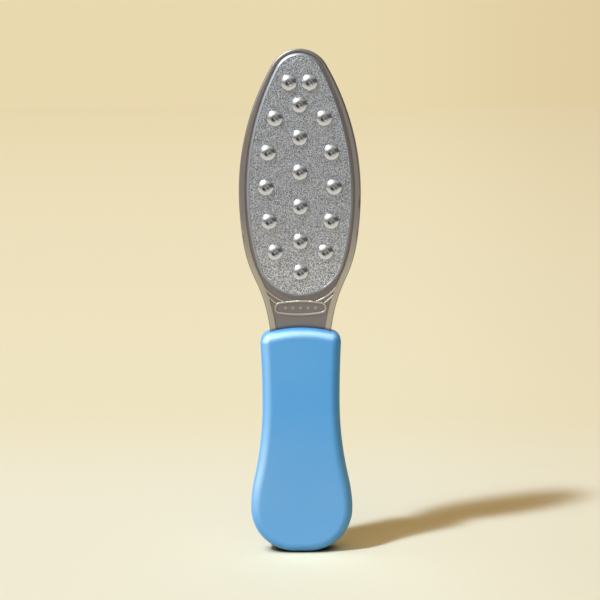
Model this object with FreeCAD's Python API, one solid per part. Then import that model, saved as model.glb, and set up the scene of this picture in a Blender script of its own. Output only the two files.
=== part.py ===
"""Foot file: a cast head with two abrasive plates, riveted studs and a two-shell handle.

Millimetres. +Z is up, the front faces -Y and the tool stands on the end of its handle at z = 0.
"""
import FreeCAD, Part
from FreeCAD import Vector
import math
import os

# Heights of the whole tool
overall_length = 228.0
handle_length = 104.0

# Cast head: outline. The shares give the tip's radius over the half width, place the widest line on the
# plate and split the curve into the neck.
head_width = 54.4
tip_share = 0.511
widest_share = 0.43
flank_share = 0.39
flank_angle = 9.0
shoulder_share = 0.455
neck_width = 28.7
neck_angle = 8.7
neck_straight = 2.5

# Cast head: section
rim_depth = 6.0
floor_depth = 5.0
rail_width = 2.8
rim_tip_width = 1.3
rim_round = 1.0
rim_tip_round = 0.6
rail_inner_round = 0.3

# Cast head: dish, ridge and badge field under the plate. The ridge's radius is a share of the plate's end radius.
dish_tip_inset = 1.9
groove = 0.75
dish_gap = 2.0
ridge_share = 1.03
ridge_drop = 3.9
ridge_half_angle = 62.0
ridge_width = 0.9
ridge_height = 0.45
ridge_round = 0.3
badge_height = 6.9
badge_bow = 0.75
badge_side_gap = 1.0
badge_above_handle = 5.5
rib_angle = 41.0
rib_length = 9.0
pip_diameter = 1.5
pip_height = 0.35
pip_pitch = 3.4
fine_pips = 5
coarse_pips = 3

# Tang inside the handle
neck_seat = 9.0
tang_shoulder = 3.2
tang_length = 36.0
tang_thickness = 5.0

# Abrasive plates and their bond films. The share gives the round end's radius over the half width.
plate_thickness = 1.35
plate_bevel = 0.9
plate_end_share = 0.846
film_thickness = 0.15
film_inset = 0.6
film_hole_room = 0.5

# Studs: rows from the plate's tip, as (share of its length, share of its half width there)
stud_pair_shares = ((0.119, 0.34), (0.264, 0.57), (0.404, 0.63), (0.547, 0.64), (0.688, 0.60), (0.816, 0.545))
stud_single_shares = (0.209, 0.343, 0.485, 0.628, 0.772, 0.900)
dome_diameter = 7.4
dome_height = 1.8
dimple_diameter = 3.1
dimple_depth = 0.5
tube_diameter = 3.4
tube_floor = 0.6
tube_end_room = 0.3
shank_diameter = 2.2
shank_end_room = 0.4
shank_room = 0.1
stud_hole_room = 0.1

# Handle shells
handle_depth = 15.0
mouth_wall = 4.45
crown_radius = 55.0
waist_width = 35.0
waist_height = 70.7
bulb_width = 46.5
foot_width = 6.0
shoulder_radius = 57.0
side_round = 4.4
mouth_corner_extra = 0.6
shell_wall = 2.6
rib_thickness = 1.6
seam_width = 0.12
seam_depth = 0.4
socket_room = 0.15
tang_end_wall = 4.0

# Pegs that line up the shells
peg_diameter = 3.4
peg_boss_diameter = 6.8
peg_length = 3.0
peg_room = 0.1
peg_spacing = 21.0

# Dowels through the tang
pin_diameter = 4.0
pin_room = 0.1
pin_cover = 1.4
pin_end_room = 0.1
pin_inset = 9.0

# Places that follow from the sizes above
half_rim = rim_depth / 2
half_floor = floor_depth / 2
plate_back = half_floor + film_thickness
plate_face = plate_back + plate_thickness
dish_top = overall_length - rim_tip_width
plate_top = dish_top - groove
head_tip_radius = tip_share * head_width / 2
dish_tip_radius = head_tip_radius - dish_tip_inset
plate_half = head_width / 2 - rail_width - groove
plate_tip_radius = dish_tip_radius - groove
plate_end_radius = plate_end_share * plate_half
ridge_radius = ridge_share * plate_end_radius
ridge_crest = half_floor + ridge_height
badge_middle = handle_length + badge_above_handle + badge_height / 2
plate_end = badge_middle + badge_height / 2 + dish_gap
plate_length = plate_top - plate_end
widest_height = plate_end + widest_share * plate_length
neck_end = handle_length + neck_straight
neck_slope = math.tan(math.radians(neck_angle))
seat_end = handle_length - neck_seat
tang_end = seat_end - tang_length
tang_half = neck_width / 2 - (neck_end - seat_end) * neck_slope - tang_shoulder
bulb_height = (bulb_width - foot_width) / 2
hollow_top = tang_end - tang_end_wall
pin_half = handle_depth / 2 - pin_cover - pin_end_room
stud_hole = tube_diameter + stud_hole_room
depth_axis = Vector(0, 1, 0)


def on_circle(centre, radius, degrees):
    """Point (x, z) of a circle at an angle from +X towards +Z."""
    angle = math.radians(degrees)
    return centre[0] + radius * math.cos(angle), centre[1] + radius * math.sin(angle)


def at(point, y=0.0):
    """Vector of an (x, z) point at depth y."""
    return Vector(point[0], y, point[1])


def swing(centre, radius, start, end):
    """Arc in the XZ plane from one angle to another."""
    angles = (start, (start + end) / 2, end)
    return Part.Arc(*(at(on_circle(centre, radius, angle)) for angle in angles)).toShape()


def line(start, end):
    """Straight edge in the XZ plane."""
    return Part.LineSegment(at(start), at(end)).toShape()


def to_axis(point):
    """Level edge from a point to the axis x = 0."""
    return line(point, (0, point[1]))


def face_of(edges):
    """Flat face inside closed edges."""
    return Part.Face(Part.Wire(Part.__sortEdges__(edges)))


def prism(edges, near, far):
    """Solid between two depths over a closed outline in the XZ plane."""
    face = face_of(edges)
    face.translate(Vector(0, near, 0))
    return face.extrude(Vector(0, far - near, 0))


def rods(places, diameter, half_length):
    """Cylinders along Y, centred on the middle plane, at the given places."""
    return [
        Part.makeCylinder(diameter / 2, 2 * half_length, at(place, -half_length), depth_axis)
        for place in places
    ]


def flipped(shape):
    """The same shape on the other side of the plane x = 0."""
    return shape.mirror(Vector(0, 0, 0), Vector(1, 0, 0))


def turned_back(shape):
    """The same shape on the other face of the tool, mirrored in y = 0."""
    return shape.mirror(Vector(0, 0, 0), depth_axis)


def joined(first, *others):
    """One solid from several that overlap or share faces."""
    return first.fuse(list(others)).removeSplitter()


def both_sides(edges):
    """Edges of a right half outline with their mirror images."""
    return edges + [flipped(edge) for edge in edges]


def middle_of(edge):
    """Point halfway along an edge."""
    return edge.valueAt((edge.FirstParameter + edge.LastParameter) / 2)


def edges_at_depth(shape, depth, test=lambda point: True):
    """Edges that lie wholly at one depth and whose middle point passes a test."""
    found = []
    for edge in shape.Edges:
        box = edge.BoundBox
        level = abs(box.YMin - depth) < 1e-4 and abs(box.YMax - depth) < 1e-4
        if level and test(middle_of(edge)):
            found.append(edge)
    return found


def egg_side(reach, half_width, tip_radius):
    """Radius of an egg's side arc and the angle where it turns into the tip arc.

    reach is the height from the widest line to the tip. The side circle is upright at the widest line and
    tangent to the tip circle.
    """
    rise = reach - tip_radius
    radius = (half_width ** 2 + rise ** 2 - tip_radius ** 2) / (2 * (half_width - tip_radius))
    return radius, math.degrees(math.atan2(rise, radius - half_width))


def upper_arcs(top, half_width, tip_radius):
    """Tip arc and side arc from the top of an egg outline down to its widest line."""
    radius, turn = egg_side(top - widest_height, half_width, tip_radius)
    tip = swing((0, top - tip_radius), tip_radius, 90, turn)
    return [tip, swing((half_width - radius, widest_height), radius, turn, 0)]


def lower_arcs(end, half_width, end_radius):
    """Side arc and end arc from the widest line of an egg outline down to its round end."""
    radius, turn = egg_side(widest_height - end, half_width, end_radius)
    side = swing((half_width - radius, widest_height), radius, 0, -turn)
    return [side, swing((0, end + end_radius), end_radius, -turn, -90)]


def plate_edges(grow=0.0):
    """Closed outline of an abrasive plate, or one parallel to it."""
    upper = upper_arcs(plate_top + grow, plate_half + grow, plate_tip_radius + grow)
    lower = lower_arcs(plate_end - grow, plate_half + grow, plate_end_radius + grow)
    return both_sides(upper + lower)


def plate_half_width(height):
    """Half width of the plate at a height."""
    above = height > widest_height
    reach = plate_top - widest_height if above else widest_height - plate_end
    tip_radius = plate_tip_radius if above else plate_end_radius
    radius, turn = egg_side(reach, plate_half, tip_radius)
    climb = abs(height - widest_height)
    if climb < radius * math.sin(math.radians(turn)):
        return plate_half - radius + math.sqrt(radius ** 2 - climb ** 2)
    return math.sqrt(tip_radius ** 2 - (climb - reach + tip_radius) ** 2)


def neck_curve():
    """Flank radius, shoulder radius, neck radius and steepest angle of the head's lower sides.

    The flank arc takes a share of the height. Two tangent arcs then reach the neck's width at its angle.
    """
    flank_drop = flank_share * (widest_height - neck_end)
    flank = math.radians(flank_angle)
    neck = math.radians(neck_angle)
    flank_radius = flank_drop / math.sin(flank)
    dx = head_width / 2 - flank_radius * (1 - math.cos(flank)) - neck_width / 2
    dz = widest_height - flank_drop - neck_end
    cosine = shoulder_share * math.cos(flank) + (1 - shoulder_share) * math.cos(neck)
    sine = shoulder_share * math.sin(flank) + (1 - shoulder_share) * math.sin(neck)
    steep = math.atan2(dx, dz) + math.acos((dz * cosine + dx * sine) / math.hypot(dx, dz))
    radii = dz / (math.sin(steep) - sine)
    return flank_radius, shoulder_share * radii, (1 - shoulder_share) * radii, math.degrees(steep)


def neck_arcs(inset):
    """Lower side of the head from its widest line to the straight neck, inset from the outline.

    Gives the edges, then the centre and the radius of the neck arc.
    """
    flank, shoulder, neck, steep = neck_curve()
    flank_centre = (head_width / 2 - flank, widest_height)
    shoulder_centre = on_circle(flank_centre, flank - shoulder, -flank_angle)
    neck_centre = on_circle(shoulder_centre, shoulder + neck, -steep)
    edges = [
        swing(flank_centre, flank - inset, 0, -flank_angle),
        swing(shoulder_centre, shoulder - inset, -flank_angle, -steep),
        swing(neck_centre, neck + inset, 180 - steep, 180 - neck_angle),
    ]
    return edges, neck_centre, neck + inset


def neck_run(inset, end):
    """Ends of the neck's straight run, from the neck arc down to a height."""
    edges, centre, radius = neck_arcs(inset)
    start = on_circle(centre, radius, 180 - neck_angle)
    return start, (start[0] - (start[1] - end) * neck_slope, end)


def head_side(top, inset, tip_radius):
    """Right side of the head, or of the dish inside its rim, down to the neck's foot, and that foot."""
    start, foot = neck_run(inset, seat_end)
    edges = upper_arcs(top, head_width / 2 - inset, tip_radius) + neck_arcs(inset)[0] + [line(start, foot)]
    return edges, foot


def half_outline(edges, foot, top):
    """Right half outline closed along the axis."""
    return edges + [to_axis(foot), line((0, foot[1]), (0, top))]


def dish_half_width(height):
    """Half width of the floor between the rails at a height on the neck arc."""
    edges, centre, radius = neck_arcs(rail_width)
    return centre[0] - math.sqrt(radius ** 2 - (height - centre[1]) ** 2)


def half_frame():
    """Right half of the casting: rounded rim and rails, dished on both faces."""
    side, foot = head_side(overall_length, 0, head_tip_radius)
    body = prism(half_outline(side, foot, overall_length), -half_rim, half_rim)
    tip_round = min(rim_tip_round, rim_tip_width / 2)
    for depth in (-half_rim, half_rim):
        tip = edges_at_depth(body, depth, lambda p: p.x > 1e-3 and p.z > overall_length - head_tip_radius)[0]
        from_axis = tip.valueAt(tip.FirstParameter).x < tip.valueAt(tip.LastParameter).x
        ends = (tip_round, rim_round) if from_axis else (rim_round, tip_round)
        body = body.makeFillet(*ends, [tip])
    inner, foot = head_side(dish_top, rail_width, dish_tip_radius)
    for near, far in ((-rim_depth, -half_floor), (half_floor, rim_depth)):
        body = body.cut(prism(half_outline(inner, foot, dish_top), near, far))
    dish = Part.Wire(Part.__sortEdges__(inner))
    rims = []
    for depth in (-half_rim, half_rim):
        rims += edges_at_depth(body, depth, lambda p: dish.distToShape(Part.Vertex(p.x, 0, p.z))[0] < 1e-3)
    return body.makeFillet(min(rail_inner_round, rim_tip_width / 3), rims)


def on_floor(outer, *inner):
    """Ridge over a closed outline on the front floor, sunk a little into it, with holes and a rounded crest."""
    ridge = prism(outer, -ridge_crest, -half_floor + ridge_height)
    for edges in inner:
        ridge = ridge.cut(prism(edges, -rim_depth, rim_depth))
    return ridge.makeFillet(ridge_round, edges_at_depth(ridge, -ridge_crest))


def bow_edges():
    """Closed outline of the ridge under the plate's end: a band of a circle that runs into both rails."""
    centre = (0, plate_end - ridge_drop + ridge_radius)
    ends = (-90 - ridge_half_angle, ridge_half_angle - 90)
    radii = (ridge_radius - ridge_width / 2, ridge_radius + ridge_width / 2)
    sides = [line(*(on_circle(centre, radius, angle) for radius in radii)) for angle in ends]
    return sides + [swing(centre, radius, *ends) for radius in radii]


def badge_half_width():
    """Half width of the oval badge field between the rails."""
    return dish_half_width(badge_middle) - badge_side_gap


def badge_edges(grow=0.0):
    """Oval outline of the badge field, or one parallel to it: round ends, bowed top and bottom."""
    half_height = badge_height / 2 + grow
    end_radius = half_height - badge_bow
    run = badge_half_width() + grow - end_radius
    radius = (half_height ** 2 + run ** 2 - end_radius ** 2) / (2 * badge_bow)
    turn = math.degrees(math.atan2(radius - half_height, run))
    end = swing((run, badge_middle), end_radius, -turn, turn)
    top = swing((0, badge_middle + half_height - radius), radius, turn, 180 - turn)
    bottom = swing((0, badge_middle - half_height + radius), radius, turn - 180, -turn)
    return [end, top, flipped(end), bottom]


def rib():
    """Short rib on the right from the oval's shoulder up into the rail."""
    bar = Part.makeBox(rib_length, 2 * ridge_height, ridge_width, Vector(0, -ridge_crest, -ridge_width / 2))
    bar = bar.makeFillet(ridge_round, edges_at_depth(bar, -ridge_crest, lambda p: 0 < p.x < rib_length))
    bar.rotate(Vector(0, 0, 0), depth_axis, -rib_angle)
    bar.translate(at((badge_half_width() - badge_height / 5, badge_middle + badge_height / 4)))
    return bar


def pips(count):
    """Plain row of round pips in the middle of the badge field, sunk a little into the floor."""
    row = []
    for index in range(count):
        place = ((index - (count - 1) / 2) * pip_pitch, badge_middle)
        height = pip_height + ridge_height
        row.append(Part.makeCylinder(pip_diameter / 2, height, at(place, -half_floor - pip_height), depth_axis))
    return row


def neck_relief(pip_count):
    """Everything raised on the front floor: ridge under the plate, ribs, oval and pips."""
    overlap = rail_inner_round
    side, foot = head_side(dish_top + overlap, rail_width - overlap, dish_tip_radius + overlap)
    floor = prism(both_sides(side + [to_axis(foot)]), -half_rim, 0)
    field = prism(badge_edges(), -rim_depth, rim_depth)
    lines = [shape.common(floor).cut(field) for shape in (on_floor(bow_edges()), rib(), flipped(rib()))]
    return lines + [on_floor(badge_edges(), badge_edges(-ridge_width))] + pips(pip_count)


def stud_places():
    """Places (x, z) of all studs."""
    places = [(0.0, plate_top - share * plate_length) for share in stud_single_shares]
    for share, spread in stud_pair_shares:
        height = plate_top - share * plate_length
        x = spread * plate_half_width(height)
        places += [(x, height), (-x, height)]
    return places


def pin_places():
    """Places (x, z) of the dowels on the tang."""
    return [(0.0, seat_end - pin_inset), (0.0, tang_end + pin_inset)]


def head_frame():
    """Cast head, neck and tang."""
    half = half_frame()
    body = joined(half, flipped(half))
    relief = neck_relief(fine_pips) + [turned_back(shape) for shape in neck_relief(coarse_pips)]
    corner = Vector(-tang_half, -tang_thickness / 2, tang_end)
    tang = Part.makeBox(2 * tang_half, tang_thickness, tang_length, corner)
    holes = rods(stud_places(), stud_hole, rim_depth)
    holes += rods(pin_places(), pin_diameter + pin_room, rim_depth)
    return joined(body, tang, *relief).cut(holes)


def front_plate():
    """Abrasive plate with a bevelled edge and stud holes, on the front."""
    plate = prism(plate_edges(), -plate_face, -plate_back)
    plate = plate.makeChamfer(plate_bevel, edges_at_depth(plate, -plate_face))
    return plate.cut(rods(stud_places(), stud_hole, rim_depth))


def front_film():
    """Bond film under the front plate."""
    film = prism(plate_edges(-film_inset), -plate_back, -half_floor)
    return film.cut(rods(stud_places(), stud_hole + film_hole_room, rim_depth))


def dome_edges():
    """Half section of a dimpled dome from its seat's edge to its axis, and its height on the axis."""
    radius = dome_diameter / 2
    sphere = (radius ** 2 + dome_height ** 2) / (2 * dome_height)
    centre = (0, dome_height - sphere)
    dimple = dimple_diameter / 2
    base_angle = math.degrees(math.asin(-centre[1] / sphere))
    rim_angle = math.degrees(math.acos(dimple / sphere))
    floor = on_circle(centre, sphere, rim_angle)[1] - dimple_depth
    hollow = (dimple ** 2 + dimple_depth ** 2) / (2 * dimple_depth)
    hollow_angle = math.degrees(math.asin(dimple / hollow))
    dome = swing(centre, sphere, base_angle, rim_angle)
    return [dome, swing((0, floor + hollow), hollow, hollow_angle - 90, -90)], floor


def stud(shank_corners):
    """Domed stud turned about Z, with its seat at z = 0 and its shank's half section below."""
    dome, floor = dome_edges()
    corners = [(0, floor)] + shank_corners + [(dome_diameter / 2, 0)]
    edges = [line(start, end) for start, end in zip(corners, corners[1:])]
    return face_of(dome + edges).revolve(Vector(0, 0, 0), Vector(0, 0, 1), 360)


def set_studs(one, turn, seat):
    """A copy of one stud at every place, turned to its face and seated there."""
    group = []
    for place in stud_places():
        copy = one.copy()
        copy.rotate(Vector(0, 0, 0), Vector(1, 0, 0), turn)
        copy.translate(at(place, seat))
        group.append(copy)
    return Part.makeCompound(group)


def front_studs():
    """Solid-shank studs through the front plate, ending in the bores of the rear studs."""
    shank = 2 * plate_face - tube_floor - shank_end_room
    radius = shank_diameter / 2
    return set_studs(stud([(0, -shank), (radius, -shank), (radius, 0)]), 90, -plate_face)


def rear_studs():
    """Tubular studs through the rear plate, which take the front shanks."""
    tube = 2 * plate_face - tube_end_room
    bore = (shank_diameter + shank_room) / 2
    radius = tube_diameter / 2
    shank = [(0, -tube_floor), (bore, -tube_floor), (bore, -tube), (radius, -tube), (radius, 0)]
    return set_studs(stud(shank), -90, plate_face)


def handle_side(inset=0.0):
    """Right half outline of the handle from its foot to its mouth's corner, and that corner.

    A bulb on a small flat foot, an S of two tangent arcs into the waist and a slow flare up to the mouth.
    """
    bulb = bulb_width / 2
    waist = waist_width / 2
    mouth = neck_width / 2 - neck_straight * neck_slope + mouth_wall
    crown_drop = crown_radius - math.sqrt(crown_radius ** 2 - mouth ** 2)
    flare_run = handle_length - crown_drop - waist_height
    flare = (flare_run ** 2 + (mouth - waist) ** 2) / (2 * (mouth - waist))
    flare_angle = math.degrees(math.asin(flare_run / flare))
    turn = 2 * math.atan2(bulb - waist, waist_height - bulb_height)
    lean = math.degrees(turn)
    hollow = (waist_height - bulb_height) / math.sin(turn) - shoulder_radius
    shoulder_centre = (bulb - shoulder_radius, bulb_height)
    hollow_centre = on_circle(shoulder_centre, shoulder_radius + hollow, lean)
    flare_centre = (waist + flare, waist_height)
    edges = [
        to_axis((foot_width / 2, inset)),
        swing((foot_width / 2, bulb_height), bulb_height - inset, -90, 0),
        swing(shoulder_centre, shoulder_radius - inset, 0, lean),
        swing(hollow_centre, hollow + inset, 180 + lean, 180),
        swing(flare_centre, flare + inset, 180, 180 - flare_angle),
    ]
    return edges, on_circle(flare_centre, flare + inset, 180 - flare_angle)


def handle_body():
    """Outside of the handle: crowned top, rounded corners and rounded edges."""
    half_depth = handle_depth / 2
    edges, corner = handle_side()
    crown_centre = (0, handle_length - crown_radius)
    crown_start = math.degrees(math.atan2(corner[1] - crown_centre[1], corner[0]))
    edges.append(swing(crown_centre, crown_radius, crown_start, 90))
    body = prism(both_sides(edges), -half_depth, half_depth)
    mouth_corners = [
        edge for edge in body.Edges
        if edge.BoundBox.YLength > half_depth and abs(middle_of(edge).z - corner[1]) < 1e-3
    ]
    body = body.makeFillet(side_round + mouth_corner_extra, mouth_corners)
    return body.makeFillet(side_round, edges_at_depth(body, -half_depth) + edges_at_depth(body, half_depth))


def neck_prism(inset, near, far):
    """Solid over the neck's straight run inside the handle's mouth, inset from the neck's sides."""
    start, foot = neck_run(inset, seat_end - socket_room)
    return prism(both_sides([line(start, foot), to_axis(foot), to_axis(start)]), near, far)


def neck_socket():
    """Room in the handle for the neck, with lips left that fill its recessed panels, and for the tang."""
    room = neck_prism(-socket_room, -half_rim - socket_room, half_rim + socket_room)
    lip = neck_prism(rail_width + socket_room, -rim_depth, -half_floor - socket_room)
    half_slot = tang_half + socket_room
    half_depth = tang_thickness / 2 + socket_room
    corner = Vector(-half_slot, -half_depth, tang_end - socket_room)
    slot = Part.makeBox(2 * half_slot, 2 * half_depth, tang_length + socket_room, corner)
    return joined(room.cut([lip, turned_back(lip)]), slot)


def peg_places():
    """Places (x, z) of the pegs that line up the shells."""
    sides = [(x, bulb_height) for x in (-peg_spacing / 2, peg_spacing / 2)]
    return sides + [(0.0, hollow_top - peg_boss_diameter)]


def hollow():
    """Cored-out lower part of the handle, with a spine rib, a cross rib and peg bosses left standing."""
    edges, corner = handle_side(shell_wall)
    half_depth = handle_depth / 2 - shell_wall
    reach = bulb_width
    core = prism(both_sides(edges + [to_axis(corner)]), -half_depth, half_depth)
    core = core.common(Part.makeBox(2 * reach, 2 * reach, hollow_top, Vector(-reach, -reach, 0)))
    spine = Part.makeBox(rib_thickness, 2 * reach, hollow_top, Vector(-rib_thickness / 2, -reach, 0))
    cross_height = (bulb_height + hollow_top) / 2
    cross = Part.makeBox(2 * reach, 2 * reach, rib_thickness, Vector(-reach, -reach, cross_height))
    return core.cut([spine, cross] + rods(peg_places(), peg_boss_diameter, reach))


def seam_groove():
    """Shallow groove round the handle on the parting plane. Inside it the shells touch."""
    outlines = []
    for inset in (-seam_depth, seam_depth):
        edges, corner = handle_side(inset)
        outlines.append(both_sides(edges + [to_axis(corner)]))
    outer, inner = (prism(edges, -seam_width / 2, seam_width / 2) for edges in outlines)
    return outer.cut(inner)


def handle_shell(front):
    """One half of the handle. The rear half carries the pegs and the front half their sockets."""
    reach = bulb_width
    half = Part.makeBox(2 * reach, reach, 2 * handle_length, Vector(-reach, -reach if front else 0, 0))
    bores = rods(pin_places(), pin_diameter + pin_room, pin_half + pin_end_room)
    shell = handle_body().common(half).cut([neck_socket(), hollow(), seam_groove()] + bores)
    if front:
        return shell.cut(rods(peg_places(), peg_diameter + peg_room, peg_length + peg_room))
    return joined(shell, *rods(peg_places(), peg_diameter, peg_length))


def tang_pins():
    """Two dowels across the tang."""
    return Part.makeCompound(rods(pin_places(), pin_diameter, pin_half))


def main():
    """Build every piece and write it."""
    plate = front_plate()
    film = front_film()
    pieces = {
        "head_frame": head_frame(),
        "fine_plate": plate,
        "coarse_plate": turned_back(plate),
        "fine_bond_film": film,
        "coarse_bond_film": turned_back(film),
        "front_studs": front_studs(),
        "rear_studs": rear_studs(),
        "handle_front_shell": handle_shell(True),
        "handle_rear_shell": handle_shell(False),
        "tang_pins": tang_pins(),
    }
    os.makedirs("parts", exist_ok=True)
    for name, shape in pieces.items():
        shape.exportStep("parts/" + name + ".step")
        print(name, len(shape.Solids), "solids", round(shape.Volume, 1), "mm3", shape.isValid())


main()
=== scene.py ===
# %% [markdown]
# # A foot file, dressed for its picture
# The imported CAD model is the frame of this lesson: a cast head on a moulded handle. The head and the handle
# shells keep their CAD meshes, because their shapes are right, and get finishes worked out with shader nodes.
# The abrasive plates and the studs are made again here, since a picture shows their grain and their soft lips.

# %% Load the frame
import math

import bmesh
import bpy
import numpy as np
from mathutils import Euler, Matrix, Vector


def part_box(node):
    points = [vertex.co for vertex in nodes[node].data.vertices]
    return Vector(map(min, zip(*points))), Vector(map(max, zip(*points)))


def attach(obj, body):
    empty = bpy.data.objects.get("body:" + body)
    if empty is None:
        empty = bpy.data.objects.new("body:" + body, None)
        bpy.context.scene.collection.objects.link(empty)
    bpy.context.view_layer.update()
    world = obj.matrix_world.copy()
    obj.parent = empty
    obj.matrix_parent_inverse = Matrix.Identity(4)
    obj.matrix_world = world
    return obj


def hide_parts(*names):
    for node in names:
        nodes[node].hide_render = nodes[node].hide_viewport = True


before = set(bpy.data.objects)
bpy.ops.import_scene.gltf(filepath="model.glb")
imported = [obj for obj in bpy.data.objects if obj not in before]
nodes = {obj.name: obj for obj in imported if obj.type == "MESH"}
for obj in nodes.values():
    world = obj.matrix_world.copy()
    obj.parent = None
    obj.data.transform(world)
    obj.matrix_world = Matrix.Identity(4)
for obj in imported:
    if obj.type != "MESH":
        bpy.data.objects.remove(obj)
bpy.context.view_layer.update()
MM = 0.001

# %% [markdown]
# ## Camera
# The photograph looks slightly down on the standing file through a long lens. A camera could be aimed with a
# constraint, but three measured numbers say it all: the distance, the height and the tilt. A hair of roll
# makes the file lean to the left as it does there.

# %% Camera
IMAGE_SIZE = 600
FOCAL_PIXELS = 1412.0
SENSOR = 36.0
CAMERA_PLACE = Vector((-0.22, -631.8, 204.95)) * MM
CAMERA_TILT = math.radians(8.0)
CAMERA_ROLL = math.radians(-0.374)


def link(item):
    """Put an object into the scene."""
    bpy.context.scene.collection.objects.link(item)
    return item


camera_data = bpy.data.cameras.new("camera")
camera_data.sensor_width = SENSOR
camera_data.lens = FOCAL_PIXELS * SENSOR / IMAGE_SIZE
camera = link(bpy.data.objects.new("camera", camera_data))
camera.location = CAMERA_PLACE
turn = Euler((math.pi / 2 - CAMERA_TILT, 0, 0)).to_matrix() @ Matrix.Rotation(CAMERA_ROLL, 3, "Z")
camera.rotation_euler = turn.to_euler()
bpy.context.scene.camera = camera
bpy.context.scene.view_settings.view_transform = "Standard"
print("lens", round(camera_data.lens, 1), "mm")

# %% [markdown]
# ## Light
# A hard lamp stands at the upper left and throws the long shadow to the right. A broad halo round it gives the
# shadow its faint second edge, which widens with distance. Cool, very soft fill lamps in front and behind
# balance the warm light that comes back from the floor, so a colour looks about as it is written. Two large
# warm strips give the plastic of the handle its pale sheen on the left edge and the lip. They are linked to the
# handle alone, as a photographer flags a lamp off the metal. The rest is warm light from the cream
# surroundings, from the world.

# %% Lamps
KEY_BEARING = math.radians(33.7)
KEY_HEIGHT = math.radians(53.3)
KEY_COLOR = (0.665, 0.81, 1.0)
KEY_STRENGTH = 3.4
# Each part of the key lamp: its name, its share of the strength and its angle in degrees.
KEY_PARTS = (("key", 0.6, 4.4), ("key_halo", 0.4, 9.5))
FILL_COLOR = (0.80, 0.86, 1.0)
FILL_ANGLE = math.radians(60)
FILL_WAY = Vector((0.6, 1.0, -0.2))
FILL_STRENGTH = 1.18
REAR_WAY = Vector((0.0, -1.0, -0.2))
REAR_STRENGTH = 1.2


def lamp(name, kind, power, color, towards, place=(0, 0, 0)):
    """New lamp that shines along a direction."""
    data = bpy.data.lights.new(name, kind)
    data.energy = power
    data.color = color
    item = link(bpy.data.objects.new(name, data))
    item.location = place
    item.rotation_euler = Vector(towards).to_track_quat("-Z", "Y").to_euler()
    return item


def soft_fill(name, strength, towards):
    """Very soft cool lamp that leaves no glint of its own."""
    item = lamp(name, "SUN", strength, FILL_COLOR, towards)
    item.data.angle = FILL_ANGLE
    item.visible_glossy = False
    return item


flat = math.cos(KEY_HEIGHT)
key_way = Vector((flat * math.cos(KEY_BEARING), flat * math.sin(KEY_BEARING), -math.sin(KEY_HEIGHT)))
for name, share, degrees in KEY_PARTS:
    lamp(name, "SUN", share * KEY_STRENGTH, KEY_COLOR, key_way).data.angle = math.radians(degrees)
soft_fill("fill", FILL_STRENGTH, FILL_WAY)
rear_fill = soft_fill("rear_fill", REAR_STRENGTH, REAR_WAY)
print("lamps", [item.name for item in bpy.data.lights])

# %% Strips for the handle
HANDLE_SHELLS = ("handle_front_shell", "handle_rear_shell")
STRIP_COLOR = (1.0, 0.76, 0.22)
STRIP_SIZE = 2.0
# Each strip's name, place and power.
STRIPS = (("side_strip", Vector((-1.05, -0.62, 0.15)), 215.0),
          ("top_strip", Vector((-0.15, -0.35, 1.15)), 160.0))

handle_only = bpy.data.collections.new("handle_only")
for node in HANDLE_SHELLS:
    handle_only.objects.link(nodes[node])
for name, place, power in STRIPS:
    strip = lamp(name, "AREA", power, STRIP_COLOR, -place, place)
    strip.data.size = STRIP_SIZE
    strip.visible_diffuse = False
    strip.visible_camera = False
    strip.light_linking.receiver_collection = handle_only

# %% [markdown]
# ## World
# What the metal shows is mostly its surroundings, so the world looks different to rays that leave a glossy
# surface. They meet a large white panel round the key lamp, grey cards in front, overhead and on the left, the
# cream backdrop behind and a dark room elsewhere. The camera sees plain cream, painted a little deeper on the
# right as shade, and all other rays get warm light, more of it from above and less from the right. An image of a
# studio would do the same, but smooth steps are easier to change.

# %% Node helpers
def add(tree, kind, values=None, **settings):
    """Add a node, set its own settings and the values of its inputs by name or number."""
    node = tree.nodes.new(kind)
    for name, value in settings.items():
        setattr(node, name, value)
    for name, value in (values or {}).items():
        node.inputs[name].default_value = value
    return node


def wire(tree, *pairs):
    """Link output sockets to input sockets."""
    for start, end in pairs:
        tree.links.new(start, end)


def feed(tree, slot, term):
    """Give an input either a plain value or another node's output."""
    if isinstance(term, bpy.types.NodeSocket):
        tree.links.new(term, slot)
    else:
        slot.default_value = term


def rise(tree, socket, low, high):
    """Smooth step from 0 at low to 1 at high."""
    node = add(tree, "ShaderNodeMapRange", {"From Min": low, "From Max": high}, interpolation_type="SMOOTHSTEP")
    wire(tree, (socket, node.inputs["Value"]))
    return node.outputs[0]


def scaled(tree, socket, low, high):
    """Map a 0 to 1 socket to the range from low to high."""
    node = add(tree, "ShaderNodeMapRange", {"To Min": low, "To Max": high})
    wire(tree, (socket, node.inputs["Value"]))
    return node.outputs[0]


def blended(tree, share, first, second):
    """Mix of two colours by a share from 0 to 1."""
    node = add(tree, "ShaderNodeMix", data_type="RGBA")
    for number, term in ((0, share), (6, first), (7, second)):
        feed(tree, node.inputs[number], term)
    return node.outputs[2]


def compute(tree, operation, *terms):
    """Arithmetic on sockets and numbers."""
    node = add(tree, "ShaderNodeMath", operation=operation)
    for slot, term in zip(node.inputs, terms):
        feed(tree, slot, term)
    return node.outputs[0]


def axes(tree, socket):
    """The three parts of a vector socket."""
    node = add(tree, "ShaderNodeSeparateXYZ")
    wire(tree, (socket, node.inputs[0]))
    return node.outputs


print("node helpers ready")

# %% What glossy rays meet
BACKDROP = (0.820, 0.695, 0.432, 1)
GLOSS_ROOM = (0.12, 0.115, 0.11, 1)
GLOSS_FRONT = (0.48, 0.47, 0.455, 1)
GLOSS_WALL = (0.42, 0.42, 0.41, 1)
GLOSS_TOP = (0.52, 0.52, 0.53, 1)
GLOSS_SKY = (0.92, 0.94, 0.97, 1)
GLOSS_PANEL = (1.8, 1.84, 1.9, 1)
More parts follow.
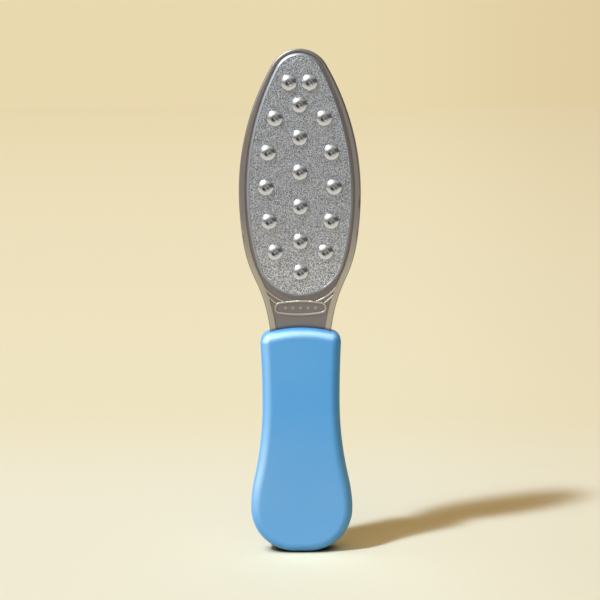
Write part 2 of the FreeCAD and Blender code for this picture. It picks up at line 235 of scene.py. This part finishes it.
# Where each smooth step starts and ends, on the parts of a ray's direction or on its nearness to the key lamp.
WALL_X, WALL_Y = (-0.35, -0.8), (-0.75, -0.25)
BACK_Y, BACK_X = (0.35, 0.8), (0.5, 0.1)
FRONT_Y = (-0.78, -0.96)
TOP_Z = (0.45, 0.85)
SKY_NEAR, PANEL_NEAR = (0.66, 0.86), (0.85, 0.97)

world = bpy.data.worlds.new("studio")
bpy.context.scene.world = world
world.use_nodes = True
tree = world.node_tree
tree.nodes.clear()
way = add(tree, "ShaderNodeTexCoord").outputs["Generated"]
x, y, z = axes(tree, way)
to_key = add(tree, "ShaderNodeVectorMath", {1: -key_way}, operation="DOT_PRODUCT")
wire(tree, (way, to_key.inputs[0]))
near_key = to_key.outputs["Value"]
wall = compute(tree, "MULTIPLY", rise(tree, x, *WALL_X), rise(tree, y, *WALL_Y))
open_back = compute(tree, "MULTIPLY", rise(tree, y, *BACK_Y), rise(tree, x, *BACK_X))
gloss = blended(tree, open_back, GLOSS_ROOM, BACKDROP)
gloss = blended(tree, rise(tree, y, *FRONT_Y), gloss, GLOSS_FRONT)
gloss = blended(tree, wall, gloss, GLOSS_WALL)
gloss = blended(tree, rise(tree, z, *TOP_Z), gloss, GLOSS_TOP)
gloss = blended(tree, rise(tree, near_key, *SKY_NEAR), gloss, GLOSS_SKY)
gloss = blended(tree, rise(tree, near_key, *PANEL_NEAR), gloss, GLOSS_PANEL)
print("nodes for gloss", len(tree.nodes))

# %% What the other rays meet
AMBIENT_LOW = (0.17, 0.112, 0.04, 1)
AMBIENT_HIGH = (0.535, 0.355, 0.125, 1)
AMBIENT_RIGHT = (0.10, 0.062, 0.02, 1)
BACKDROP_SHADED = (0.745, 0.605, 0.352, 1)
AMBIENT_Z, AMBIENT_X = (-0.1, 0.9), (0.25, 0.95)
RIGHT_SHADE_FROM, RIGHT_SHADE_UNTIL = (0.02, 0.24), (0.9, 0.4)

path = add(tree, "ShaderNodeLightPath")
around = blended(tree, rise(tree, z, *AMBIENT_Z), AMBIENT_LOW, AMBIENT_HIGH)
around = blended(tree, rise(tree, x, *AMBIENT_X), around, AMBIENT_RIGHT)
seen = blended(tree, path.outputs["Is Glossy Ray"], around, gloss)
# Painted shade: the cream that the camera sees is deeper on the right, away from the key lamp.
right_shade = compute(tree, "MULTIPLY", rise(tree, x, *RIGHT_SHADE_FROM), rise(tree, x, *RIGHT_SHADE_UNTIL))
cream = blended(tree, right_shade, BACKDROP, BACKDROP_SHADED)
back = add(tree, "ShaderNodeBackground")
out = add(tree, "ShaderNodeOutputWorld")
wire(tree, (blended(tree, path.outputs["Is Camera Ray"], seen, cream), back.inputs["Color"]),
     (back.outputs[0], out.inputs[0]))
print("world nodes", len(tree.nodes))

# %% [markdown]
# ## Floor
# The file stands on cream card, palest round the file as a painted pool of light, a little deeper behind it and
# on the right as painted shade, fading into the backdrop far away, without a line. A sweep could be modelled as a
# curved wall, but a wide flat floor with a fading colour looks the same and leaves room to look at the file from
# behind. In reflections the card gives way to a grey one in front of the file, part of the light that it would
# throw back is flagged off, and shade is painted into the card in the crack under the handle.

# %% Mesh helpers
def grid_faces(rows, columns):
    """Corner numbers of the quads of a grid of rows by columns points, row by row."""
    first = (np.arange(rows - 1)[:, None] * columns + np.arange(columns - 1)[None, :]).ravel()
    return np.stack([first, first + 1, first + columns + 1, first + columns], 1)


def mesh_object(name, points, faces, weld=None, sharp=None, **marks):
    """New smooth object from an array of points and an array of quads, welded and facing outwards.

    Edges that turn by more than sharp stay crisp. Each mark is an array of one number for every point.
    """
    mesh = bpy.data.meshes.new(name)
    mesh.from_pydata(points.reshape(-1, 3).tolist(), [], faces.tolist())
    for title, values in marks.items():
        mark = mesh.attributes.new(title, "FLOAT", "POINT")
        mark.data.foreach_set("value", values.ravel().astype(np.float32))
    if weld:
        work = bmesh.new()
        work.from_mesh(mesh)
        bmesh.ops.remove_doubles(work, verts=work.verts, dist=weld)
        bmesh.ops.dissolve_degenerate(work, edges=work.edges, dist=weld)
        bmesh.ops.recalc_face_normals(work, faces=work.faces)
        work.to_mesh(mesh)
        work.free()
    mesh.shade_smooth()
    if sharp:
        mesh.set_sharp_from_angle(angle=sharp)
    return link(bpy.data.objects.new(name, mesh))


print("mesh helpers ready")

# %% Floor mesh
FLOOR_REACH = 60.0
FLOOR_POINTS = 9

reach = np.linspace(-FLOOR_REACH, FLOOR_REACH, FLOOR_POINTS)
across, along = np.meshgrid(reach, reach)
floor_points = np.stack([across, along, np.zeros_like(across)], -1)
floor = mesh_object("floor", floor_points, grid_faces(FLOOR_POINTS, FLOOR_POINTS))
print("floor", len(floor.data.polygons), "faces")

# %% Cream card
FLOOR_NEAR = (0.838, 0.79, 0.617, 1)
FLOOR_MIDDLE = (0.832, 0.757, 0.532, 1)
FLOOR_FAR = (0.768, 0.65, 0.402, 1)
FLOOR_SHADED_SIDE = (0.62, 0.51, 0.31, 1)
CARD_ROUGHNESS = 0.9
FADE = (0.07, 0.30)
FADE_HALF = 2.5
ROOM_HALF = 0.1
VIEW_DISTANCE = 0.63
NEAREST_VIEW = 0.2
SLANT_FROM, SLANT_UNTIL = (0.05, 0.24), (2.0, 0.4)
SIDE_SHADE_SHARES = (0.2, 0.48)


def material(name):
    """New material with one Principled shader, as its tree, shader and the material itself."""
    made = bpy.data.materials.new(name)
    made.use_nodes = True
    tree = made.node_tree
    tree.nodes.clear()
    shader = add(tree, "ShaderNodeBsdfPrincipled")
    out = add(tree, "ShaderNodeOutputMaterial")
    wire(tree, (shader.outputs[0], out.inputs[0]))
    return tree, shader, made


tree, shader, card = material("cream_card")
shader.inputs["Roughness"].default_value = CARD_ROUGHNESS
shader.inputs["Specular IOR Level"].default_value = 0.0
x, y, z = axes(tree, add(tree, "ShaderNodeTexCoord").outputs["Object"])
side = compute(tree, "MAXIMUM", compute(tree, "ABSOLUTE", x), compute(tree, "MULTIPLY", y, -1.0))
away = compute(tree, "MAXIMUM", y, compute(tree, "SUBTRACT", side, ROOM_HALF))
behind = compute(tree, "MAXIMUM", away, 0.0)
far_share = compute(tree, "DIVIDE", behind, compute(tree, "ADD", behind, FADE_HALF))
distance = compute(tree, "MAXIMUM", compute(tree, "ADD", y, VIEW_DISTANCE), NEAREST_VIEW)
slant = compute(tree, "DIVIDE", x, distance)
# Painted light: the card is palest round the file, a painted pool of light, and deeper further behind.
tone = blended(tree, far_share, FLOOR_MIDDLE, FLOOR_FAR)
tone = blended(tree, rise(tree, away, *FADE), FLOOR_NEAR, tone)
# Painted shade: the card is deeper on the right, away from the key lamp.
right_shade = compute(tree, "MULTIPLY", rise(tree, slant, *SLANT_FROM), rise(tree, slant, *SLANT_UNTIL))
side_shade_share = compute(tree, "MULTIPLY", right_shade, scaled(tree, far_share, *SIDE_SHADE_SHARES))
tone = blended(tree, side_shade_share, tone, FLOOR_SHADED_SIDE)
print("card nodes", len(tree.nodes))

# %% Card in reflections, in bounced light and under the handle
GLOSS_CARD = (0.82, 0.79, 0.71, 1)
GREY_CARD_Y = (-0.12, -0.45)
BOUNCE_LOSS = 0.4
SHADE_TONE = (0.03, 0.02, 0.006, 1)
CONTACT_REACH = 0.007
CONTACT_SAMPLES = 8
CONTACT_STEP = (0.15, 0.65)

rays = add(tree, "ShaderNodeLightPath").outputs
shown = blended(tree, rise(tree, y, *GREY_CARD_Y), GLOSS_CARD, GLOSS_FRONT)
tone = blended(tree, rays["Is Glossy Ray"], tone, shown)
tone = blended(tree, compute(tree, "MULTIPLY", rays["Is Diffuse Ray"], BOUNCE_LOSS), tone, SHADE_TONE)
# Painted shadow: the card turns dark where the handle crowds it, a painted contact shadow.
contact_occlusion = add(tree, "ShaderNodeAmbientOcclusion", {"Distance": CONTACT_REACH}, samples=CONTACT_SAMPLES)
painted_contact_shadow = rise(tree, contact_occlusion.outputs["AO"], *CONTACT_STEP)
wire(tree, (blended(tree, painted_contact_shadow, SHADE_TONE, tone), shader.inputs["Base Color"]))
floor.data.materials.append(card)
print("floor wears", card.name)

# %% [markdown]
# ## Finishes kept as node groups
# Two effects are kept as groups, each built once with its own named inputs. Fine grain is the tiny roughness of
# cast, moulded and plated surfaces, and every finish of the file uses it. The crest mask marks what stands out of
# the casting: the further a point lies from the middle plane of the file, the more of it. The head alone uses it,
# for smoother crests and for painted light in their colour, and the group keeps its two limits in one place.

# %% Fine grain group
def group(name, inputs, outputs):
    """New shader node group with named float inputs and outputs, as its tree, input and output nodes."""
    made = bpy.data.node_groups.new(name, "ShaderNodeTree")
    for title, value in inputs.items():
        socket = made.interface.new_socket(title, in_out="INPUT", socket_type="NodeSocketFloat")
        socket.default_value = value
    for title in outputs:
        made.interface.new_socket(title, in_out="OUTPUT", socket_type="NodeSocketFloat")
    return made, made.nodes.new("NodeGroupInput"), made.nodes.new("NodeGroupOutput")


fine_grain, entry, leave = group("fine_grain", {"Scale": 3000.0, "Patches": 60.0}, ("Height", "Blotch"))
where = add(fine_grain, "ShaderNodeTexCoord").outputs["Object"]
small = add(fine_grain, "ShaderNodeTexNoise", {"Detail": 3.0, "Roughness": 0.6})
large = add(fine_grain, "ShaderNodeTexNoise", {"Detail": 4.0, "Roughness": 0.55})
for noise, size, result in ((small, "Scale", "Height"), (large, "Patches", "Blotch")):
    wire(fine_grain, (where, noise.inputs["Vector"]), (entry.outputs[size], noise.inputs["Scale"]),
         (noise.outputs["Fac"], leave.inputs[result]))
print("group", fine_grain.name)

# %% Crest mask group
crest_polish_and_light, entry, leave = group("crest_polish_and_light", {"Low": 0.0025, "High": 0.0031}, ("Mask",))
depth = axes(crest_polish_and_light, add(crest_polish_and_light, "ShaderNodeTexCoord").outputs["Object"])["Y"]
worn = add(crest_polish_and_light, "ShaderNodeMapRange", interpolation_type="SMOOTHSTEP")
wire(crest_polish_and_light, (compute(crest_polish_and_light, "ABSOLUTE", depth), worn.inputs["Value"]),
     (entry.outputs["Low"], worn.inputs["From Min"]), (entry.outputs["High"], worn.inputs["From Max"]),
     (worn.outputs[0], leave.inputs["Mask"]))
print("group", crest_polish_and_light.name)

# %% [markdown]
# ## Cast head
# The head is a tumbled casting, a soft grey metal, rougher on the dish floor and smoother on its crests. Its
# colour holds painted light: a darker dish floor as shade, lighter crests and the brightest neck rails as a
# highlight, and a dark line of painted shade along the handle's crown, where the neck goes in. Such marks are
# often found from the mesh's curvature, but here depth and height say it more simply.

# %% Finish helpers
CROWN_RADIUS, CROWN_TOP = 0.055, 0.104


def place_group(tree, made, values):
    """Put a node group into a material with its own values."""
    return add(tree, "ShaderNodeGroup", values, node_tree=made)


def bumped(tree, shader, height, depth, strength):
    """Raise a shader's surface by a height socket of the given depth in metres."""
    node = add(tree, "ShaderNodeBump", {"Distance": depth, "Strength": strength})
    wire(tree, (height, node.inputs["Height"]), (node.outputs[0], shader.inputs["Normal"]))


def above_crown(tree, x, z):
    """Height of a point over the handle's crown, the circle z = top - R + sqrt(R^2 - x^2)."""
    root = compute(tree, "SQRT", compute(tree, "SUBTRACT", CROWN_RADIUS ** 2, compute(tree, "MULTIPLY", x, x)))
    return compute(tree, "SUBTRACT", compute(tree, "SUBTRACT", z, root), CROWN_TOP - CROWN_RADIUS)


def dress(node, finish):
    """Give a CAD node a finish on all of its material slots."""
    for index in range(len(nodes[node].data.materials)):
        nodes[node].data.materials[index] = finish


print("finish helpers ready")

# %% Cast metal on the head
CAST_FLOOR = (0.33, 0.285, 0.258, 1)
CAST_CREST = (0.395, 0.362, 0.315, 1)
CAST_RAIL = (0.70, 0.625, 0.47, 1)
CAST_ROUGHNESS = (0.44, 0.58)
CREST_POLISH = 0.16
RAIL_LIGHT_TOP, RAIL_LIGHT_FULL = 0.160, 0.126
CROWN_SHADE = (0.05, 0.06, 0.085, 1)
CROWN_SHADE_REACH = 0.0018
CROWN_SHADE_SHARE = 0.8

tree, shader, cast_metal = material("cast_metal")
shader.inputs["Metallic"].default_value = 1.0
grain = place_group(tree, fine_grain, {"Scale": 2600.0, "Patches": 90.0})
crest = place_group(tree, crest_polish_and_light, {"Low": 0.0027, "High": 0.0030}).outputs["Mask"]
x, y, z = axes(tree, add(tree, "ShaderNodeTexCoord").outputs["Object"])
# Painted highlight: the rails of the neck are painted brightest towards the handle.
painted_rail_highlight = compute(tree, "MULTIPLY", crest, rise(tree, z, RAIL_LIGHT_TOP, RAIL_LIGHT_FULL))
# Painted shade: a dark line along the handle's crown, where the neck goes in.
grime = compute(tree, "MULTIPLY", rise(tree, above_crown(tree, x, z), CROWN_SHADE_REACH, 0.0), CROWN_SHADE_SHARE)
# Painted light: the dish floor is painted darker as shade and the crests lighter; only their smoothness is
# polish.
tone = blended(tree, painted_rail_highlight, blended(tree, crest, CAST_FLOOR, CAST_CREST), CAST_RAIL)
rough = compute(tree, "SUBTRACT", scaled(tree, grain.outputs["Blotch"], *CAST_ROUGHNESS),
                scaled(tree, crest, 0.0, CREST_POLISH))
wire(tree, (blended(tree, grime, tone, CROWN_SHADE), shader.inputs["Base Color"]), (rough, shader.inputs["Roughness"]))
bumped(tree, shader, grain.outputs["Height"], depth=0.00006, strength=0.6)
dress("head_frame", cast_metal)
print("head_frame wears", cast_metal.name)

# %% [markdown]
# ## Handle
# The handle is blue plastic from a lightly sparked mould: satin, with a grain too fine to see from afar, and a
# sheen that drifts a little from place to place. The round end is painted slightly paler than the waist, a
# painted reflection of the warm light that the floor throws back.

# %% Handle plastic
HANDLE_BLUE = (0.049, 0.357, 0.80, 1)
HANDLE_PALE = (0.107, 0.395, 0.79, 1)
HANDLE_IOR = 1.5
HANDLE_ROUGHNESS = (0.36, 0.46)
BOUNCE_TOP, BOUNCE_FULL = 0.075, 0.025
PALE_DRIFT = (-0.15, 0.15)

tree, shader, handle_plastic = material("handle_plastic")
shader.inputs["IOR"].default_value = HANDLE_IOR
grain = place_group(tree, fine_grain, {"Scale": 4200.0, "Patches": 40.0})
height = axes(tree, add(tree, "ShaderNodeTexCoord").outputs["Object"])["Z"]
# Painted reflection: the round end is paler, as the floor's warm bounce would make it.
painted_bounce = rise(tree, height, BOUNCE_TOP, BOUNCE_FULL)
bounce_and_drift = compute(tree, "ADD", painted_bounce, scaled(tree, grain.outputs["Blotch"], *PALE_DRIFT))
wire(tree, (blended(tree, bounce_and_drift, HANDLE_BLUE, HANDLE_PALE), shader.inputs["Base Color"]),
     (scaled(tree, grain.outputs["Blotch"], *HANDLE_ROUGHNESS), shader.inputs["Roughness"]))
bumped(tree, shader, grain.outputs["Height"], depth=0.00002, strength=0.35)
for node in HANDLE_SHELLS:
    dress(node, handle_plastic)
print("material", handle_plastic.name)

# %% [markdown]
# ## Abrasive plates
# Each plate is nickel with a pebbled grain and a smooth bevelled edge. The outline is an egg of tangent arcs.
# The surface is one grid: its rows cross the plate from edge to edge, and its columns run from under the plate
# round the wall and the bevel, over the field and back, so the skin closes on itself. The grain is real
# relief: each point rises by its distance from the nearest of many scattered pebbles.

# %% Plate outline
plate_low, plate_high = (np.array(corner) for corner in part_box("fine_plate"))
plate_half = plate_high[0]
plate_top, plate_end = plate_high[2], plate_low[2]
plate_length = plate_top - plate_end
plate_face, plate_back = -plate_low[1], -plate_high[1]
TIP_RADIUS = 11.25 * MM
END_RADIUS = 20.0 * MM
WIDEST_SHARE = 0.43
OUTLINE_PITCH = 0.29 * MM
widest = plate_end + WIDEST_SHARE * plate_length


def egg_side(reach, tip):
    """Side arc of an egg: upright at the widest line, tangent to a tip circle. Radius and turning angle.

    R = (w^2 + d^2 - r^2) / (2 (w - r)) for half width w, tip radius r and height d of the tip's centre.
    """
    climb = reach - tip
    radius = (plate_half ** 2 + climb ** 2 - tip ** 2) / (2 * (plate_half - tip))
    return radius, math.atan2(climb, radius - plate_half)


def arc_points(centre, radius, angles):
    """Points (x, z) on a circle and the outward unit normals there."""
    normal = np.stack([np.cos(angles), np.sin(angles)], -1)
    return np.array(centre) + radius * normal, normal


def egg_outline(pitch):
    """Right side of the plate's outline from its tip to its end, evenly spaced, with outward normals."""
    upper, upper_turn = egg_side(plate_top - widest, TIP_RADIUS)
    lower, lower_turn = egg_side(widest - plate_end, END_RADIUS)
    runs = [((0, plate_top - TIP_RADIUS), TIP_RADIUS, math.pi / 2, upper_turn),
            ((plate_half - upper, widest), upper, upper_turn, 0),
            ((plate_half - lower, widest), lower, 0, -lower_turn),
            ((0, plate_end + END_RADIUS), END_RADIUS, -lower_turn, -math.pi / 2)]
    points, normals = [], []
    for centre, radius, start, end in runs:
        steps = int(abs(end - start) * radius / pitch) + 1
        where, facing = arc_points(centre, radius, np.linspace(start, end, steps + 1)[bool(points):])
        points.append(where)
        normals.append(facing)
    return np.concatenate(points), np.concatenate(normals)


outline, outward = egg_outline(OUTLINE_PITCH)
print("plate outline", len(outline), "points down one side")

# %% Pebbled grain
PEBBLE_CELLS = 256
PEBBLE_PLACES = (0.1, 0.9)
PEBBLE_SIZES = (0.55, 1.0)
PEBBLE_WIDTH = 0.42


def pebbles(x, z, pitch, seed):
    """Height from 0 to 1 of pebbles scattered one to a square of the given pitch.

    The nearest scattered point at distance d raises a rounded bump exp(-(d / (width pitch))^2) of its own size.
    """
    rng = np.random.default_rng(seed)
    offset = rng.uniform(*PEBBLE_PLACES, (PEBBLE_CELLS, PEBBLE_CELLS, 2))
    size = rng.uniform(*PEBBLE_SIZES, (PEBBLE_CELLS, PEBBLE_CELLS))
    column, row = np.floor(x / pitch).astype(int), np.floor(z / pitch).astype(int)
    height = np.zeros_like(x)
    for right in (-1, 0, 1):
        for up in (-1, 0, 1):
            cell = ((column + right) % PEBBLE_CELLS, (row + up) % PEBBLE_CELLS)
            dx = (column + right + offset[cell][..., 0]) * pitch - x
            dz = (row + up + offset[cell][..., 1]) * pitch - z
            bump = size[cell] * np.exp(-(dx ** 2 + dz ** 2) / (PEBBLE_WIDTH * pitch) ** 2)
            height = np.maximum(height, bump)
    return height


print("pebbles repeat after", PEBBLE_CELLS, "squares")

# %% Plate mesh
BEVEL = 0.9 * MM
BEVEL_DROP = 0.75 * MM
# Section of the edge from the back to the field: shares of the bevel's width inwards and of its drop.
BEVEL_INSETS = np.array([0.0, 0.0, 0.08, 0.35, 0.65, 0.92, 1.0])
BEVEL_FALLS = np.array([1.0, 0.90, 0.62, 0.31, 0.05, 0.0])
CRISP = math.radians(40)
WELD = 1e-7
FIELD_COLUMNS = 165
# Pitch and depth of the pebbles, and the seed of their scatter.
FINE_PEBBLES = (0.62 * MM, 0.17 * MM, 3)
COARSE_PEBBLES = (1.2 * MM, 0.26 * MM, 8)


def plate(name, node, front, pitch, depth, seed):
    """Closed plate: rows follow the outline, columns go round the section, the grain is cut into its face.

    The bevel's columns are the outline moved inwards along its normals; the field's columns share out each row.
    """
    inset = BEVEL_INSETS * BEVEL
    sink = np.concatenate([[plate_face - plate_back], BEVEL_FALLS * BEVEL_DROP])
    edge = outline[None] - inset[:, None, None] * outward[None]
    share = np.linspace(1, -1, FIELD_COLUMNS + 2)[1:-1, None]
    field_x = share * edge[-1][None, :, 0]
    field_z = np.broadcast_to(edge[-1][None, :, 1], field_x.shape)
    x = np.concatenate([np.zeros_like(edge[:1, :, 0]), edge[..., 0], field_x, -edge[::-1, :, 0],
                        np.zeros_like(edge[:1, :, 0])])
    z = np.concatenate([edge[:1, :, 1], edge[..., 1], field_z, edge[::-1, :, 1], edge[:1, :, 1]])
    drop = np.concatenate([sink[:1], sink, np.zeros(FIELD_COLUMNS), sink[::-1], sink[:1]])[:, None]
    border = np.zeros(len(inset) + 1)
    on_field = np.concatenate([border, np.ones(FIELD_COLUMNS), border])[:, None]
    grain = pebbles(x, z, pitch, seed)
    y = plate_face - drop - on_field * depth * (1 - grain)
    points = np.stack([x, -y if front else y, z], -1)
    field = np.broadcast_to(on_field, x.shape)
    made = mesh_object(name, points, grid_faces(*x.shape), weld=WELD, sharp=CRISP, field=field)
    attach(made, "root")
    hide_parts(node)
    return made


fine_plate = plate("fine_plate_grained", "fine_plate", True, *FINE_PEBBLES)
coarse_plate = plate("coarse_plate_grained", "coarse_plate", False, *COARSE_PEBBLES)
print("plates", len(fine_plate.data.polygons), len(coarse_plate.data.polygons), "faces")

# %% Abrasive nickel
NICKEL_LOW = (0.235, 0.235, 0.235, 1)
NICKEL_HIGH = (0.755, 0.755, 0.745, 1)
NICKEL_BOUNCE_LIT = (0.97, 0.935, 0.885, 1)
NICKEL_BEVEL = (0.42, 0.42, 0.42, 1)
GRAIN_SHADE_STEP = (0.43, 0.58)
FINE_ROUGHNESS = (0.42, 0.62)
COARSE_ROUGHNESS = (0.44, 0.66)


def abrasive(name, roughness):
    """Plated nickel, painted with shade between grain bumps, glints on their tops and floor bounce at the lower
    end.
    """
    tree, shader, made = material(name)
    shader.inputs["Metallic"].default_value = 1.0
    grain = place_group(tree, fine_grain, {"Scale": 3200.0, "Patches": 120.0}).outputs["Height"]
    field = add(tree, "ShaderNodeAttribute", attribute_name="field").outputs["Fac"]
    height = axes(tree, add(tree, "ShaderNodeTexCoord").outputs["Object"])["Z"]
    # Painted reflection: the bright tops grow paler towards the lower end, as the floor's bounce would make them.
    bright = blended(tree, rise(tree, height, widest, plate_end), NICKEL_HIGH, NICKEL_BOUNCE_LIT)
    # Painted shade between the bumps of the fine grain and painted glints on their tops.
    grain_shade_and_glint = blended(tree, rise(tree, grain, *GRAIN_SHADE_STEP), NICKEL_LOW, bright)
    wire(tree, (blended(tree, field, NICKEL_BEVEL, grain_shade_and_glint), shader.inputs["Base Color"]),
         (scaled(tree, grain, *roughness), shader.inputs["Roughness"]))
    bumped(tree, shader, grain, depth=0.00008, strength=0.5)
    return made


fine_plate.data.materials.append(abrasive("fine_abrasive", FINE_ROUGHNESS))
coarse_plate.data.materials.append(abrasive("coarse_abrasive", COARSE_ROUGHNESS))
print("plates dressed")

# %% [markdown]
# ## Studs
# Eighteen polished studs stand on each plate, each a dome with a small dent in its crown. One stud is a profile
# turned round its axis, and every stud is the same array moved to its place, so the whole set is one mesh. The
# dents carry a ring of painted shade.

# %% Stud places and profile
DOME_RADIUS = 3.7 * MM
DOME_HEIGHT = 1.8 * MM
DENT_RADIUS = 1.55 * MM
DENT_DEPTH = 0.5 * MM
DENT_LIP = 0.04 * MM
SEAT_DEPTH = 0.12 * MM
PROFILE_POINTS = 61
# Shares of the plate's length down from its tip, and for a pair also of its half width there.
PAIR_SHARES = ((0.119, 0.34), (0.264, 0.57), (0.404, 0.63), (0.547, 0.64), (0.688, 0.60), (0.816, 0.545))
SINGLE_SHARES = (0.209, 0.343, 0.485, 0.628, 0.772, 0.900)


def stud_places():
    """Places (x, z): singles on the axis, pairs at a share of the plate's half width at their height."""
    down, spread = np.array(PAIR_SHARES).T
    height = plate_top - down * plate_length
    x = spread * np.interp(-height, -outline[:, 1], outline[:, 0])
    single = plate_top - np.array(SINGLE_SHARES) * plate_length
    return np.concatenate([np.stack([np.zeros_like(single), single], -1), np.stack([x, height], -1),
                           np.stack([-x, height], -1)])


def stud_profile():
    """Radius and height from the crown to the seat: the lower of a sphere's cap and a bowl, with a soft lip.

    cap(r) = sqrt(R^2 - r^2) - (R - H), bowl(r) = cap(a) - d + d (r / a)^2 and the lip's softness k give
    h(r) = -k ln(exp(-cap / k) + exp(-bowl / k)).
    """
    sphere = (DOME_RADIUS ** 2 + DOME_HEIGHT ** 2) / (2 * DOME_HEIGHT)
    angle = np.linspace(0, math.acos((sphere - DOME_HEIGHT) / sphere), PROFILE_POINTS)
    radius = sphere * np.sin(angle)
    cap = sphere * np.cos(angle) - (sphere - DOME_HEIGHT)
    lip = math.sqrt(sphere ** 2 - DENT_RADIUS ** 2) - (sphere - DOME_HEIGHT)
    bowl = lip - DENT_DEPTH * (1 - (radius / DENT_RADIUS) ** 2)
    height = -DENT_LIP * np.logaddexp(-cap / DENT_LIP, -bowl / DENT_LIP)
    radius = np.concatenate([radius, [DOME_RADIUS, 0.0]])
    height = np.concatenate([height, [-SEAT_DEPTH, -SEAT_DEPTH]])
    return radius, height


places = stud_places()
print("studs", len(places))

# %% Stud mesh
TURNS = 48
DENT_SHADE_RING = 0.62
DENT_SHADE_WIDTH = 0.42


def stud_set(name, node, front):
    """All studs of one face: the profile turned in TURNS steps, copied to every place.

    The dent gets a ring of painted shade, exp(-((r / a - ring) / width)^2) for the dent's radius a.
    """
    radius, height = stud_profile()
    angle = np.linspace(0, 2 * math.pi, TURNS + 1)
    ring_x, ring_z = radius * np.cos(angle)[:, None], radius * np.sin(angle)[:, None]
    y = np.broadcast_to(plate_face + height, ring_x.shape)
    one = np.stack([ring_x, -y if front else y, ring_z], -1)
    all_points = one[None] + np.stack([places[:, 0], np.zeros(len(places)), places[:, 1]], -1)[:, None, None]
    quads = grid_faces(*ring_x.shape)
    faces = quads[None] + (np.arange(len(places)) * ring_x.size)[:, None, None]
    # Painted shade: a dark ring inside each dent.
    dent_shade = np.exp(-((radius / DENT_RADIUS - DENT_SHADE_RING) / DENT_SHADE_WIDTH) ** 2)
    grime = np.broadcast_to(dent_shade, (len(places),) + ring_x.shape)
    made = mesh_object(name, all_points, faces.reshape(-1, 4), weld=WELD, grime=grime)
    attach(made, "root")
    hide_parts(node)
    return made


front_studs = stud_set("front_stud_domes", "front_studs", True)
rear_studs = stud_set("rear_stud_domes", "rear_studs", False)
print("stud faces", len(front_studs.data.polygons))

# %% Stud metal
STUD_BRIGHT = (0.69, 0.69, 0.675, 1)
STUD_SHADE = (0.20, 0.20, 0.205, 1)
STUD_ROUGHNESS = (0.10, 0.22)

tree, shader, stud_metal = material("stud_metal")
shader.inputs["Metallic"].default_value = 1.0
dent_shade = add(tree, "ShaderNodeAttribute", attribute_name="grime").outputs["Fac"]
grain = place_group(tree, fine_grain, {"Scale": 5000.0, "Patches": 500.0})
# The dent's ring is painted shade.
wire(tree, (blended(tree, dent_shade, STUD_BRIGHT, STUD_SHADE), shader.inputs["Base Color"]),
     (scaled(tree, grain.outputs["Blotch"], *STUD_ROUGHNESS), shader.inputs["Roughness"]))
for piece in (front_studs, rear_studs):
    piece.data.materials.append(stud_metal)
print("material", stud_metal.name)

# %% [markdown]
# ## Pieces inside
# The bond films and the dowels don't show, but they are part of the file, so they get plain honest finishes.

# %% Film and dowels
FILM_DARK = (0.62, 0.58, 0.48, 1)
FILM_PALE = (0.76, 0.73, 0.63, 1)
PIN_ROUGHNESS = (0.25, 0.4)

tree, shader, bond_film = material("bond_film")
grain = place_group(tree, fine_grain, {"Scale": 2000.0, "Patches": 100.0})
wire(tree, (blended(tree, grain.outputs["Blotch"], FILM_DARK, FILM_PALE), shader.inputs["Base Color"]))
tree, shader, pin_steel = material("pin_steel")
shader.inputs["Metallic"].default_value = 1.0
grain = place_group(tree, fine_grain, {"Scale": 3000.0, "Patches": 200.0})
wire(tree, (scaled(tree, grain.outputs["Blotch"], *PIN_ROUGHNESS), shader.inputs["Roughness"]))
for node, finish in (("fine_bond_film", bond_film), ("coarse_bond_film", bond_film), ("tang_pins", pin_steel)):
    dress(node, finish)
print("inner pieces dressed")

# %% [markdown]
# ## Last touches
# The rear fill is there for the file alone, so it is kept off the floor, whose shadow it would wash out.

# %% Rear fill on the file alone
file_only = bpy.data.collections.new("file_only")
for piece in [*nodes.values(), fine_plate, coarse_plate, front_studs, rear_studs]:
    file_only.objects.link(piece)
rear_fill.light_linking.receiver_collection = file_only
